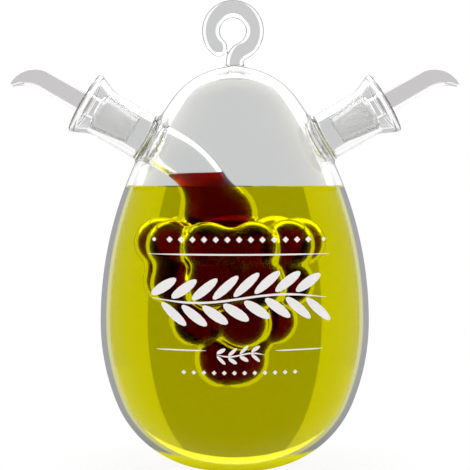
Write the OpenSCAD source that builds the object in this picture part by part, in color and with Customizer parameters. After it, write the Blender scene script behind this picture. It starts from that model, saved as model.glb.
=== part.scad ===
// Hand-blown glass cruet for oil and vinegar, in millimetres.
// The foot stands on z = 0 and the oil neck points to +X and up.
// An egg-shaped outer vessel holds the oil. A second vessel, blown as a bunch of
// grapes, hangs inside it from a ring seal and holds the vinegar. Both necks and the
// hook were made by themselves and joined to the outer vessel in the flame.

/* [Outer vessel] */
// Outer radius at the widest place
belly_r = 51.6; // [48:0.1:56]
// Height of the widest place above the foot
belly_h = 56.5; // [52:0.5:62]
// Height of the crown above the foot, without the hook
vessel_h = 154.2; // [148:0.2:160]
// Radius of the round crown
crown_r = 29.5; // [26:0.5:33]
// How much smaller the radius of the round heel is than the widest radius
heel_step = 10.6; // [9:0.1:14]
// Radius of the flat foot
foot_r = 12; // [10:0.5:14]
// How far the hot foot was pressed flat
foot_press = 0.25; // [0.2:0.05:0.5]
// Wall of the outer vessel
vessel_wall = 2.3; // [1.8:0.1:3]
// Thickness of the glass over the foot
floor_wall = 2.6; // [2:0.1:4]

/* [Necks] */
// Tilt of each neck above the horizontal
neck_tilt = 30; // [26:1:34]
// Depth under the crown at which the two neck axes cross
neck_drop = 47.2; // [44:0.2:50]
// Outer diameter of a neck
neck_od = 18.4; // [17:0.2:20]
// Wall of a neck
neck_wall = 1.8; // [1.4:0.1:2.2]
// Distance from the crossing of the axes to the start of the flared mouth
flare_start = 57; // [55:0.5:60]
// Angle of the flared mouth to the neck axis
flare_angle = 24; // [18:1:30]
// Bending radius of the flare on its outside
flare_bend_r = 8; // [6:0.5:10]
// Length of the straight, conical part of the mouth
flare_len = 6; // [4:0.5:8]
// Radius of the fire-polished bead on the rim
lip_r = 1.05; // [1:0.05:1.3]

/* [Grape vessel] */
// Distance of the bunch's axis from the axis of the outer vessel
bunch_x = -1.6; // [-3:0.1:1]
// Depth of the top row of grapes under the crossing of the neck axes
bunch_drop = 22; // [21:0.5:27]
// Height between two rows
row_pitch = 14.2; // [13.5:0.1:14.6]
// Number of rows
rows = 4; // [3:1:4]
// Radius of the ring of grapes in the top row
ring_top_r = 23; // [20:0.5:24]
// Angle by which the ring narrows from row to row, as the cosine
ring_step = 27; // [24:0.5:28]
// Radius of one grape
grape_r = 9.2; // [8.2:0.1:9.6]
// Spacing of the grapes along their ring
grape_spacing = 16.5; // [15.5:0.5:18.5]
// Turn of each row against the row above it
row_twist = 143; // [120:1:150]
// Radius of the core of the bunch at its top
core_top_r = 21; // [18:0.5:22]
// Radius of the core of the bunch at its bottom
core_tip_r = 7; // [5:0.5:9]
// Height of the core's top above the top row
core_rise = 3.6; // [2:0.2:5]
// Wall of the grape vessel
grape_wall = 1.5; // [1.2:0.1:1.8]
// Radius of the round chamber between the throat and the bunch
chamber_r = 13.2; // [11:0.2:13.6]
// Height of the chamber's centre above the top row
chamber_rise = 10.4; // [9:0.2:13]
// Place of the chamber's centre from the axis of the outer vessel
chamber_x = -5.5; // [-6:0.5:-3]
// Outer diameter of the throat
throat_od = 16.8; // [16:0.2:18]
// Wall of the throat
throat_wall = 1.4; // [1.2:0.1:1.8]
// Distance from the crossing of the neck axes to the start of the throat's bend
throat_bend_start = 28; // [25:0.5:31]
// Distance from the crossing of the neck axes to the ring seal's inner end
seal_start = 35.5; // [33:0.5:37]
// Radius of the glass bead inside the ring seal
seal_bead_r = 1.3; // [1:0.1:1.6]

/* [Stoppers] */
// Half angle of the ground plug
plug_angle = 8; // [6:0.5:9]
// Distance from the crossing of the neck axes to the plug's inner end
plug_start = 45.2; // [43:0.2:48]
// Distance from the crossing of the neck axes to the plug's shoulder
plug_end = 61.4; // [60.5:0.2:62.5]
// Wall of the hollow plug
plug_wall = 1.7; // [1.4:0.1:2]
// Rounding of the plug's shoulder
shoulder_r = 2; // [1:0.25:2.5]
// Fillet between the shoulder and the spout
collar_fillet = 0.7; // [0.4:0.1:0.8]
// Outer diameter of the spout
spout_od = 9.6; // [9:0.1:10.4]
// Wall of the spout
spout_wall = 1.2; // [1:0.1:1.4]
// Distance from the crossing of the neck axes to the start of the spout's bend
spout_bend_start = 84.2; // [80:0.2:88]
// Radius of the spout's bend at its middle
spout_bend_r = 11; // [9.5:0.5:13]
// Angle through which the spout bends down
spout_sweep = 75; // [65:1:85]
// Outer radius of the drawn tip
tip_r = 1.2; // [1:0.1:1.5]
// Radius of the hole in the tip
tip_bore_r = 0.65; // [0.5:0.05:0.8]
// Sharpness of the taper, as a power of the way along the bend
taper_power = 1.9; // [1.6:0.1:2.4]

/* [Hanging hook] */
// Diameter of the glass rod
rod_d = 6.8; // [6:0.1:7.2]
// Radius of the ring at the middle of the rod
ring_r = 8.5; // [8.2:0.1:10]
// Height of the ring's centre above the crown
ring_rise = 13.9; // [13.5:0.1:15.5]
// Place of the ring's centre beside the axis of the vessel
ring_x = -0.7; // [-1.2:0.1:0]
// Straight length of the stem above the crown
stem_len = 1.8; // [1.2:0.1:2.4]
// Angle at which the rounded free end stops, from +X
free_end_angle = 229; // [215:1:230]
// Fillet where the rod was melted on to the crown
foot_fillet = 0.9; // [0.5:0.1:1.5]

/* [Contents] */
// Depth of the oil's surface under the crown
oil_drop = 46.4; // [44:0.2:64]
// Depth of the vinegar's surface under the crown
vinegar_drop = 41.2; // [39:0.2:50]

/* [Clearances] */
// Gap between a ground plug and its neck
seat_gap = 0.05; // [0.03:0.01:0.08]
// Gap between separately made pieces of glass at their seal
seal_gap = 0.02; // [0.01:0.01:0.05]
// Gap between a liquid and the glass
liquid_gap = 0.1; // [0.05:0.01:0.2]

/* [Hidden] */

clear_glass = [0.86, 0.91, 0.92, 0.35];
frosted_glass = [0.88, 0.89, 0.88, 0.8];
oil_green = [0.72, 0.7, 0.02, 0.75];
vinegar_red = [0.35, 0.01, 0.01, 0.9];

// Facets of an egg arc, of a round piece and of a lofted ring
arc_fn = 300;
round_fn = 96;
ball_fn = 60;
loft_sides = 32;
// Steps along each arc of the egg, and along each small arc
egg_steps = 12;
small_steps = 6;
// Overlap of pieces that are cut through or fused
eps = 1;
// Swelling where two lengths of tube or rod were melted together
swell = 0.02;
// The drawn tip starts this far inside the tube's wall on both sides, so that the two fuse
hair = 0.02;
// Steps along the bend of the spout
tip_steps = 15;

// Heights above the foot
neck_cross_h = vessel_h - neck_drop;
bunch_top_h = neck_cross_h - bunch_drop;
chamber_h = bunch_top_h + chamber_rise;
oil_level = vessel_h - oil_drop;
vinegar_level = vessel_h - vinegar_drop;

// Arcs of the egg. Each arc is tangent to the next one.
heel_r = belly_r - heel_step;
crown_z = vessel_h - crown_r;
crown_run = crown_z - belly_h;
side_r = (pow(belly_r, 2) + pow(crown_run, 2) - pow(crown_r, 2)) / (2 * (belly_r - crown_r));
side_sweep = atan2(crown_run, side_r - belly_r);
heel_x = foot_r - sqrt(pow(heel_r, 2) - pow(heel_r - foot_press, 2));
heel_z = heel_r - foot_press;
bowl_x = belly_r - heel_x;
bowl_run = belly_h - heel_z;
bowl_r = (pow(bowl_x, 2) + pow(bowl_run, 2) - pow(heel_r, 2)) / (2 * (bowl_x - heel_r));
bowl_sweep = atan2(bowl_run, bowl_r - bowl_x);

// Neck. Distances are along its axis, from the crossing of the two axes.
neck_r = neck_od / 2;
bore_r = neck_r - neck_wall;
flare_out_r = flare_bend_r + neck_wall;
// The plug touches the inside of the flare where both have the same slope
seat_r = bore_r + flare_out_r * (1 - cos(plug_angle));
seat_s = flare_start + flare_out_r * sin(plug_angle);

function plug_r(s) = seat_r + (s - seat_s) * tan(plug_angle) - seat_gap / cos(plug_angle);

// Throat. Its bend runs from the neck axis to the centre of the chamber.
throat_r = throat_od / 2;
throat_bore_r = throat_r - throat_wall;
bend_from = [-throat_bend_start * cos(neck_tilt), neck_cross_h + throat_bend_start * sin(neck_tilt)];
chord = [chamber_x, chamber_h] - bend_from;
half_turn = atan2(-chord[1], chord[0]) - neck_tilt;
throat_bend_r = norm(chord) / (2 * sin(half_turn));
bend_x = bend_from[0] - throat_bend_r * sin(neck_tilt);
bend_z = bend_from[1] - throat_bend_r * cos(neck_tilt);

// Bunch of grapes
function ring_radius(k) = ring_top_r * cos(k * ring_step);
function row_height(k) = bunch_top_h - k * row_pitch;
function grape_count(k) = max(3, round(2 * PI * ring_radius(k) / grape_spacing));
function row_turn(k) = 180 / grape_count(0) - 90 + k * row_twist;

// Spout taper, where u runs from 0 at the start of the bend to 1 at the tip
function taper(wide, narrow, u) = narrow + (wide - narrow) * (1 - pow(u, taper_power));

// Points on an arc round c, from the angle a to the angle b
function arc(c, r, a, b, steps) = [
    for (i = [0 : steps])
        let (turn = a + (b - a) * i / steps)
        c + r * [cos(turn), sin(turn)]
];

// Without its first point, for an arc that follows on another
function rest(points) = [for (i = [1 : len(points) - 1]) points[i]];

// Outline of the egg, drawn at depth t under its outer surface, with its floor at z = low
module egg_outline(t, low) {
    heel = arc([heel_x, heel_z], heel_r - t, asin((low - heel_z) / (heel_r - t)), -bowl_sweep, egg_steps);
    bowl = arc([belly_r - bowl_r, belly_h], bowl_r - t, -bowl_sweep, 0, egg_steps);
    side = arc([belly_r - side_r, belly_h], side_r - t, 0, side_sweep, egg_steps);
    crown = arc([0, crown_z], crown_r - t, side_sweep, 90, egg_steps);
    polygon(concat([[0, low]], heel, rest(bowl), rest(side), rest(crown)));
}

// Solid egg at depth t under the outer surface
module egg(t, low) {
    rotate_extrude($fn = arc_fn) egg_outline(t, low);
}

// Puts a piece that is drawn along +Z on the neck axis, on the +X or -X side
module on_neck(side) {
    mirror([side < 0 ? 1 : 0, 0, 0])
        translate([0, 0, neck_cross_h])
            rotate([0, 90 - neck_tilt, 0])
                children();
}

// Point p of the flare, given across and along its wall from where the straight part starts
function on_flare(p) = [
    neck_r + flare_bend_r + p[0] * cos(flare_angle) + p[1] * sin(flare_angle),
    flare_start + p[1] * cos(flare_angle) - p[0] * sin(flare_angle)
];

// Section of a neck's wall, from inside the outer vessel to the bead on its rim
module neck_section() {
    centre = [neck_r + flare_bend_r, flare_start];
    lip_turn = acos(neck_wall / 2 / lip_r);
    lip_mid = [-flare_bend_r - neck_wall / 2, flare_len];
    lip = [for (p = arc(lip_mid, lip_r, -lip_turn, 180 + lip_turn, 3 * small_steps)) on_flare(p)];
    outside = arc(centre, flare_bend_r, 180, 180 - flare_angle, small_steps);
    inside = arc(centre, flare_out_r, 180 - flare_angle, 180, small_steps);
    polygon(concat([[bore_r, crown_r], [neck_r, crown_r]], outside, lip, inside));
}

// Neck with its flared mouth. Its root follows the outside of the outer vessel.
module neck(side) {
    color(clear_glass) difference() {
        on_neck(side) rotate_extrude($fn = round_fn) neck_section();
        egg(-seal_gap, 0);
    }
}

module oil_neck() {
    neck(1);
}

module vinegar_neck() {
    neck(-1);
}

// Egg-shaped vessel, opened under the oil neck and round the throat
module outer_vessel() {
    color(clear_glass) difference() {
        egg(0, 0);
        egg(vessel_wall, floor_wall);
        on_neck(1) cylinder(r = bore_r, h = flare_start, $fn = round_fn);
        on_neck(-1) cylinder(r = throat_r + seal_gap, h = flare_start, $fn = round_fn);
    }
}

// Throat between the ring seal and the chamber, grown by g all round
module throat(radius, g) {
    on_neck(-1) translate([0, 0, throat_bend_start])
        cylinder(r = radius + g, h = seal_start + eps - throat_bend_start, $fn = round_fn);
    on_neck(-1) translate([0, 0, throat_bend_start])
        sphere(r = radius + g + swell, $fn = ball_fn);
    translate([bend_x, 0, bend_z]) rotate([90, 0, 0])
        rotate_extrude(angle = 2 * half_turn, start = 90 - neck_tilt - 2 * half_turn, $fn = round_fn)
            translate([throat_bend_r, 0]) circle(r = radius + g, $fn = round_fn);
}

// Core of the bunch, drawn at depth t under its outer surface
module bunch_core(t) {
    low = row_height(rows - 1);
    translate([0, 0, low])
        cylinder(r1 = core_tip_r - t, r2 = core_top_r - t, h = bunch_top_h + core_rise - t - low, $fn = round_fn);
}

// Grapes, core and chamber, drawn at depth t under their outer surface
module bunch(t) {
    translate([bunch_x, 0, 0]) {
        bunch_core(t);
        for (k = [0 : rows - 1]) {
            for (i = [0 : grape_count(k) - 1]) {
                rotate(row_turn(k) + i * 360 / grape_count(k))
                    translate([ring_radius(k), 0, row_height(k)])
                        sphere(r = grape_r - t, $fn = ball_fn);
            }
        }
    }
    translate([chamber_x, 0, chamber_h]) sphere(r = chamber_r - t, $fn = ball_fn);
}

// Ring seal: a short tube with a bead, from the throat to the inside of the outer vessel
module ring_seal() {
    intersection() {
        on_neck(-1) translate([0, 0, seal_start]) {
            cylinder(r = neck_r, h = flare_start - seal_start, $fn = round_fn);
            rotate_extrude($fn = round_fn)
                translate([neck_r, 0]) circle(r = seal_bead_r, $fn = round_fn);
        }
        egg(vessel_wall + seal_gap, floor_wall);
    }
}

// Bunch of blown grapes with its throat and ring seal
module grape_vessel() {
    color(clear_glass) difference() {
        union() {
            bunch(0);
            throat(throat_r, 0);
            ring_seal();
        }
        bunch(grape_wall);
        throat(throat_bore_r, 0);
        on_neck(-1) translate([0, 0, seal_start])
            cylinder(r = bore_r, h = flare_start - seal_start, $fn = round_fn);
    }
}

// Section of the stopper's wall: ground plug, shoulder and straight spout, round their channel
module stopper_section() {
    spout_r = spout_od / 2;
    channel_r = spout_r - spout_wall;
    cone_end = plug_end - plug_wall - shoulder_r;
    corner = [plug_r(plug_end - shoulder_r) - shoulder_r / cos(plug_angle), plug_end - shoulder_r];
    collar = [spout_r, plug_end] + [collar_fillet, collar_fillet];
    polygon(concat(
        [[plug_r(plug_start) - plug_wall, plug_start], [plug_r(plug_start), plug_start]],
        arc(corner, shoulder_r, -plug_angle, 90, small_steps),
        arc(collar, collar_fillet, 270, 180, small_steps),
        [
            [spout_r, spout_bend_start],
            [channel_r, spout_bend_start],
            [channel_r, plug_end - plug_wall],
            [plug_r(cone_end) - plug_wall, cone_end]
        ]
    ));
}

// Ring of points round the spout's bend at the angle a, with the radius r
function bend_ring(a, r) = [
    for (i = [0 : loft_sides - 1])
        let (turn = i * 360 / loft_sides, side = spout_bend_r - r * cos(turn))
        [spout_bend_r - side * cos(a), r * sin(turn), spout_bend_start + side * sin(a)]
];

// Closed skin over a list of rings, of which the last one joins on to the first
module ring_skin(rings) {
    n = loft_sides;
    m = len(rings);
    faces = [
        for (k = [0 : m - 1])
            for (i = [0 : n - 1])
                let (j = (i + 1) % n, a = k * n, b = (k + 1) % m * n)
                [b + i, b + j, a + j, a + i]
    ];
    polyhedron(points = [for (ring = rings) each ring], faces = faces);
}

// Bent, drawn-out end of the spout, with its channel and rounded tip
module drawn_tip() {
    wide = spout_od / 2 - hair;
    narrow = spout_od / 2 - spout_wall + hair;
    ways = [for (k = [0 : tip_steps]) k / tip_steps];
    back = [for (k = [tip_steps : -1 : 0]) k / tip_steps];
    outside = [for (u = ways) bend_ring(u * spout_sweep, taper(wide, tip_r, u))];
    inside = [for (u = back) bend_ring(u * spout_sweep, taper(narrow, tip_bore_r, u))];
    tip = bend_ring(spout_sweep + eps, (tip_r + tip_bore_r) / 2);
    ring_skin(concat([bend_ring(-eps, wide)], outside, [tip], inside, [bend_ring(-eps, narrow)]));
}

// Stopper of the oil neck: a hollow ground plug drawn out into a bent spout
module stopper() {
    on_neck(1) {
        rotate_extrude($fn = round_fn) stopper_section();
        drawn_tip();
    }
}

module oil_stopper() {
    color(frosted_glass) stopper();
}

module vinegar_stopper() {
    color(frosted_glass) mirror([1, 0, 0]) stopper();
}

// Bent glass rod, melted on to the crown, with a round free end
module hanging_hook() {
    rod_r = rod_d / 2;
    stem_top = vessel_h + stem_len;
    centre_z = vessel_h + ring_rise;
    run = centre_z - stem_top;
    // The stem's bend is tangent to the straight stem and to the ring
    stem_r = (pow(ring_x, 2) + pow(run, 2) - pow(ring_r, 2)) / (2 * (ring_r + ring_x));
    meet = atan2(run, ring_x - stem_r);
    foot_top = vessel_h - crown_r + sqrt(pow(crown_r, 2) - pow(rod_r + foot_fillet, 2)) + foot_fillet;
    color(clear_glass) difference() {
        union() {
            rotate_extrude($fn = round_fn) {
                translate([0, crown_z]) square([rod_r, stem_top - crown_z]);
                difference() {
                    translate([0, crown_z]) square([rod_r + foot_fillet, foot_top - crown_z]);
                    translate([rod_r + foot_fillet, foot_top]) circle(r = foot_fillet, $fn = round_fn);
                }
            }
            translate([0, 0, stem_top]) sphere(r = rod_r + swell, $fn = ball_fn);
            translate([stem_r, 0, stem_top]) rotate([90, 0, 0])
                rotate_extrude(angle = 180 - meet, start = meet, $fn = round_fn)
                    translate([stem_r, 0]) circle(r = rod_r, $fn = round_fn);
            translate([stem_r + stem_r * cos(meet), 0, stem_top + stem_r * sin(meet)])
                sphere(r = rod_r + swell, $fn = ball_fn);
            translate([ring_x, 0, centre_z]) rotate([90, 0, 0])
                rotate_extrude(angle = free_end_angle + 180 - meet, start = meet - 180, $fn = round_fn)
                    translate([ring_r, 0]) circle(r = rod_r, $fn = round_fn);
            translate([ring_x, 0, centre_z] + ring_r * [cos(free_end_angle), 0, sin(free_end_angle)])
                sphere(r = rod_r + swell, $fn = ball_fn);
        }
        egg(-seal_gap, 0);
    }
}

// Oil in the outer vessel, round the grape vessel
module oil_fill() {
    color(oil_green) difference() {
        egg(vessel_wall + liquid_gap, floor_wall + liquid_gap);
        translate([-belly_r, -belly_r, oil_level]) cube([2 * belly_r, 2 * belly_r, vessel_h]);
        bunch(-liquid_gap);
        throat(throat_r, liquid_gap);
    }
}

// Vinegar in the grape vessel
module vinegar_fill() {
    color(vinegar_red) difference() {
        union() {
            bunch(grape_wall + liquid_gap);
            throat(throat_bore_r, -liquid_gap);
        }
        translate([-belly_r, -belly_r, vinegar_level]) cube([2 * belly_r, 2 * belly_r, vessel_h]);
    }
}

outer_vessel();
oil_neck();
vinegar_neck();
grape_vessel();
hanging_hook();
oil_stopper();
vinegar_stopper();
oil_fill();
vinegar_fill();
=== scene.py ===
import math
import bmesh
import bpy
import numpy as np
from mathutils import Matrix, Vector


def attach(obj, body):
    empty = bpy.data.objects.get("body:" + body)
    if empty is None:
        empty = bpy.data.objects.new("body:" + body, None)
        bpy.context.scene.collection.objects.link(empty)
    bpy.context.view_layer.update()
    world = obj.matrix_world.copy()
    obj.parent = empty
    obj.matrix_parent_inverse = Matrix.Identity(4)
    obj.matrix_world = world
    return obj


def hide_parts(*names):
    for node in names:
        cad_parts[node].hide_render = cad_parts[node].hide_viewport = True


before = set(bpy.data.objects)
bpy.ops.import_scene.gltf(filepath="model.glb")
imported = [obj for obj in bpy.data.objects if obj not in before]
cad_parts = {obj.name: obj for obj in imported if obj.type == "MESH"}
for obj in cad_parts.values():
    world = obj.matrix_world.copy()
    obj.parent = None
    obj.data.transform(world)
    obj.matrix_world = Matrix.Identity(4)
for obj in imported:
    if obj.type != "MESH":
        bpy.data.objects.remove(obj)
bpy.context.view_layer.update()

# Sizes in millimetres, as in the CAD
BELLY_R, BELLY_H, VESSEL_H, CROWN_R = 51.6, 56.5, 154.2, 29.5
HEEL_R, FOOT_R, FOOT_PRESS = 41.0, 12.0, 0.25
VESSEL_WALL, FLOOR_WALL = 2.3, 2.6
NECK_TILT, NECK_CROSS_H, NECK_R, NECK_WALL = math.radians(30), 107.0, 9.2, 1.8
FLARE_START, FLARE_ANGLE, FLARE_BEND_R, FLARE_LEN, LIP_R = 57.0, math.radians(24), 8.0, 6.0, 1.05
BUNCH_X, BUNCH_TOP_H, ROW_PITCH, ROWS = -1.6, 85.0, 14.2, 4
RING_TOP_R, RING_STEP, GRAPE_R, GRAPE_SPACING = 23.0, math.radians(27), 9.2, 16.5
ROW_TWIST = math.radians(143)
CORE_TOP_R, CORE_TIP_R, CORE_RISE = 21.0, 7.0, 3.6
GRAPE_WALL, CHAMBER_R, CHAMBER_H, CHAMBER_X = 1.5, 13.2, 95.4, -5.5
THROAT_R, THROAT_WALL, THROAT_BEND_START = 8.4, 1.4, 28.0
PLUG_ANGLE, PLUG_START, PLUG_END, PLUG_WALL = math.radians(8), 45.2, 61.4, 1.7
SHOULDER_R, COLLAR_FILLET, SPOUT_R, SPOUT_WALL = 2.0, 0.7, 4.8, 1.2
SPOUT_BEND_START, SPOUT_BEND_R, SPOUT_SWEEP = 84.2, 11.0, math.radians(75)
TIP_R, TIP_BORE_R, TAPER_POWER, SEAT_GAP = 1.2, 0.65, 1.9, 0.05
ROD_R, RING_R, RING_X, RING_RISE, STEM_LEN, FREE_END = 3.4, 8.5, -0.7, 13.9, 1.8, math.radians(229)
OIL_LEVEL, VINEGAR_LEVEL = 107.8, 113.0

# Air between the oil and the glass, and how far the vinegar reaches into its glass
OIL_GAP, WETTING = 0.15, 0.1

# Skins: the size of a cell, points worked out at a time, steps on to the surface, and a step's least slope
CELL = 1.3
CHUNK, SETTLE_STEPS, LEAST_SLOPE = 400000, 5, 0.2
# How near to a cut's plane a point is moved on to it, and how near to a neck's cut and to a liquid's level it
# counts as on it
CUT_REACH, LOOP_REACH, CAP_REACH = 1e-4, 2e-3, 1e-3
# Rounds in which a crossing is closed in on by halves
HALVINGS = 30
# Distances given where an arc or a tube isn't, and away from the bunch
FAR, OFF_BUNCH = 1e3, 30.0
# The bunch is worked out in a box: half of its width and depth, its floor and its ceiling
BUNCH_BOX = (45, 42, 22, 118)
# Along a neck: where its tube starts inside the egg, and where its own glass starts
ROOT_S, OWN_S = 25, 34
# Heights of the rod's end inside the crown, and from which the crown's glass may be the hook's
ROD_END_H, HOOK_FROM_H = 140, 150
# Boxes round the skins, and how far a liquid's box goes above its level
OUT_BOX = ((-58.3, -54.1, -2.3), (58.3, 54.1, 183.0))
ROOM_BOX = ((-51.7, -52.3, -1.3), (58.3, 52.3, 155.0))
THROAT_BOX = ((-58.3, -38.3, 25.3), (36.1, 38.3, 146.0))
HEADROOM = 4
OIL_BOX = ((-51.7, -52.3, -1.3), (51.7, 52.3, OIL_LEVEL + HEADROOM))
VINEGAR_BOX = ((-38.3, -38.3, 25.3), (36.1, 38.3, VINEGAR_LEVEL + HEADROOM))

# Widths of the fillets. The creases between grapes are softer than in the CAD
FLOOR_FILLET, TUBE_FILLET, HOOK_FILLET = 0.8, 1.0, 1.8
OIL_NECK_FILLET, VINEGAR_NECK_FILLET, BORE_FILLET, OIL_FILLET = 2.5, 2.0, 2.0, 2.4
CREASE, CORE_TOP_FILLET, CORE_TIP_FILLET, CHAMBER_FILLET = 4.5, 3.0, 2.0, 4.0
THROAT_FILLET, SEAL_FILLET, THROAT_BORE_FILLET, SEAL_BORE_FILLET = 4.0, 1.5, 3.0, 1.0

# Arcs of the egg
CROWN_Z = VESSEL_H - CROWN_R
CROWN_RUN = CROWN_Z - BELLY_H
SIDE_R = (BELLY_R**2 + CROWN_RUN**2 - CROWN_R**2) / (2 * (BELLY_R - CROWN_R))
SIDE_SWEEP = math.atan2(CROWN_RUN, SIDE_R - BELLY_R)
HEEL_X = FOOT_R - math.sqrt(HEEL_R**2 - (HEEL_R - FOOT_PRESS) ** 2)
HEEL_Z = HEEL_R - FOOT_PRESS
BOWL_X, BOWL_RUN = BELLY_R - HEEL_X, BELLY_H - HEEL_Z
BOWL_R = (BOWL_X**2 + BOWL_RUN**2 - HEEL_R**2) / (2 * (BOWL_X - HEEL_R))
BOWL_SWEEP = math.atan2(BOWL_RUN, BOWL_R - BOWL_X)
BORE_R = NECK_R - NECK_WALL
FLARE_OUT_R = FLARE_BEND_R + NECK_WALL
COS_TILT, SIN_TILT = math.cos(NECK_TILT), math.sin(NECK_TILT)
# Along a neck: where the grape vessel's throat goes over into it
WALL_S = (BELLY_R - VESSEL_WALL) * 0.72
# The necks' skins end here, and their mouths go on from here
MOUTH_S = FLARE_START - 1

# Throat
BEND_FROM = np.array([-THROAT_BEND_START * COS_TILT, NECK_CROSS_H + THROAT_BEND_START * SIN_TILT])
CHORD = np.array([CHAMBER_X, CHAMBER_H]) - BEND_FROM
HALF_TURN = math.atan2(-CHORD[1], CHORD[0]) - NECK_TILT
THROAT_BEND_R = math.hypot(*CHORD) / (2 * math.sin(HALF_TURN))
BEND_C = BEND_FROM - THROAT_BEND_R * np.array([SIN_TILT, COS_TILT])

# Hook
STEM_TOP = VESSEL_H + STEM_LEN
RING_Z = VESSEL_H + RING_RISE
HOOK_RUN = RING_Z - STEM_TOP
STEM_R = (RING_X**2 + HOOK_RUN**2 - RING_R**2) / (2 * (RING_R + RING_X))
MEET = math.atan2(HOOK_RUN, RING_X - STEM_R)


# Distance fields. Each takes points in millimetres and is negative inside
def smin(a, b, k):
    """Union with a fillet about k wide."""
    h = np.clip(1 - np.abs(a - b) / k, 0, None)
    return np.minimum(a, b) - h * h * k / 4


def smax(a, b, k):
    """Intersection with a fillet about k wide."""
    return -smin(-a, -b, k)


def egg(p, t, low):
    """Egg at depth t under the outer surface, with its floor at z = low."""
    r, z = np.hypot(p[:, 0], p[:, 1]), p[:, 2]
    crown = np.hypot(r, z - CROWN_Z) - CROWN_R
    side = np.hypot(r - (BELLY_R - SIDE_R), z - BELLY_H) - SIDE_R
    bowl = np.hypot(r - (BELLY_R - BOWL_R), z - BELLY_H) - BOWL_R
    heel = np.where(r < HEEL_X, HEEL_Z - z, np.hypot(r - HEEL_X, z - HEEL_Z)) - HEEL_R
    in_crown = (z - CROWN_Z) * math.cos(SIDE_SWEEP) - r * math.sin(SIDE_SWEEP) >= 0
    in_heel = (z - HEEL_Z) * math.cos(BOWL_SWEEP) + (r - HEEL_X) * math.sin(BOWL_SWEEP) <= 0
    shape = np.where(z >= BELLY_H, np.where(in_crown, crown, side), np.where(in_heel, heel, bowl))
    return smax(shape + t, low - z, FLOOR_FILLET)


def on_neck(p, side):
    """Distance from a neck's axis and along it."""
    x, z = side * p[:, 0], p[:, 2] - NECK_CROSS_H
    s = x * COS_TILT + z * SIN_TILT
    u = z * COS_TILT - x * SIN_TILT
    return np.hypot(u, p[:, 1]), s


def neck(p, side, radius, root):
    """A neck's tube without its flare. The side is 1 for the oil and -1 for the vinegar."""
    rho, s = on_neck(p, side)
    return smax(rho - radius, root - s, TUBE_FILLET)


def arc_tube(p, cx, cz, radius, a, b):
    """Distance from an arc in the XZ plane, from the angle a to the angle b."""
    x, z = p[:, 0] - cx, p[:, 2] - cz
    turn = np.mod(np.arctan2(z, x) - a, 2 * math.pi)
    inside = turn <= b - a
    d = np.hypot(np.hypot(x, z) - radius, p[:, 1])
    return np.where(inside, d, FAR)


def ball(p, x, y, z):
    return np.sqrt((p[:, 0] - x) ** 2 + (p[:, 1] - y) ** 2 + (p[:, 2] - z) ** 2)


def hook(p):
    above, under = np.clip(p[:, 2] - STEM_TOP, 0, None), np.clip(ROD_END_H - p[:, 2], 0, None)
    stem = np.sqrt(p[:, 0] ** 2 + p[:, 1] ** 2 + above**2 + under**2)
    bend = arc_tube(p, STEM_R, STEM_TOP, STEM_R, MEET, math.pi)
    ring = arc_tube(p, RING_X, RING_Z, RING_R, MEET - math.pi, FREE_END)
    end = ball(p, RING_X + RING_R * math.cos(FREE_END), 0, RING_Z + RING_R * math.sin(FREE_END))
    return np.minimum(np.minimum(stem, bend), np.minimum(ring, end)) - ROD_R


def grapes():
    """Centres of the grapes: rings that turn against each other, each with as many as its length takes."""

    def count_in(ring):
        return max(3, math.floor(2 * math.pi * ring / GRAPE_SPACING + 0.5))

    centres = []
    for k in range(ROWS):
        ring = RING_TOP_R * math.cos(k * RING_STEP)
        count = count_in(ring)
        turn = math.pi / count_in(RING_TOP_R) - math.pi / 2 + k * ROW_TWIST
        for i in range(count):
            a = turn + i * 2 * math.pi / count
            centres.append((BUNCH_X + ring * math.cos(a), ring * math.sin(a), BUNCH_TOP_H - k * ROW_PITCH))
    return centres


GRAPES = grapes()


def bunch(p):
    """Grapes, core and chamber."""
    out = np.full(len(p), OFF_BUNCH)
    half_x, half_y, bottom, ceiling = BUNCH_BOX
    near = (np.abs(p[:, 0]) < half_x) & (np.abs(p[:, 1]) < half_y) & (p[:, 2] > bottom) & (p[:, 2] < ceiling)
    q = p[near]
    low = BUNCH_TOP_H - (ROWS - 1) * ROW_PITCH
    top = BUNCH_TOP_H + CORE_RISE
    r = np.hypot(q[:, 0] - BUNCH_X, q[:, 1])
    slope = (CORE_TOP_R - CORE_TIP_R) / (top - low)
    cone = (r - CORE_TIP_R - (q[:, 2] - low) * slope) / math.hypot(1, slope)
    d = smax(smax(cone, q[:, 2] - top, CORE_TOP_FILLET), low - q[:, 2], CORE_TIP_FILLET)
    for x, y, z in GRAPES:
        d = smin(d, ball(q, x, y, z) - GRAPE_R, CREASE)
    out[near] = smin(d, ball(q, CHAMBER_X, 0, CHAMBER_H) - CHAMBER_R, CHAMBER_FILLET)
    return out


def throat(p, radius):
    """The bent tube from the chamber to the vinegar's shoulder."""
    turned = math.pi / 2 - NECK_TILT
    rho, s = on_neck(p, -1)
    straight = np.where(s >= THROAT_BEND_START, rho, FAR)
    straight = np.maximum(straight - radius, s - WALL_S - 1)
    bend = arc_tube(p, BEND_C[0], BEND_C[1], THROAT_BEND_R, turned - 2 * HALF_TURN, turned) - radius
    return np.minimum(straight, bend)


def grape_glass(p):
    """Outside of the grape vessel with its throat and neck."""
    d = smin(bunch(p), throat(p, THROAT_R), THROAT_FILLET)
    return smin(d, neck(p, -1, NECK_R, WALL_S), SEAL_FILLET)


def outside(p):
    """Outside of all the glass but the stoppers."""
    d = smin(egg(p, 0, 0), hook(p), HOOK_FILLET)
    d = smin(d, neck(p, 1, NECK_R, ROOT_S), OIL_NECK_FILLET)
    return smin(d, neck(p, -1, NECK_R, ROOT_S), VINEGAR_NECK_FILLET)


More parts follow.
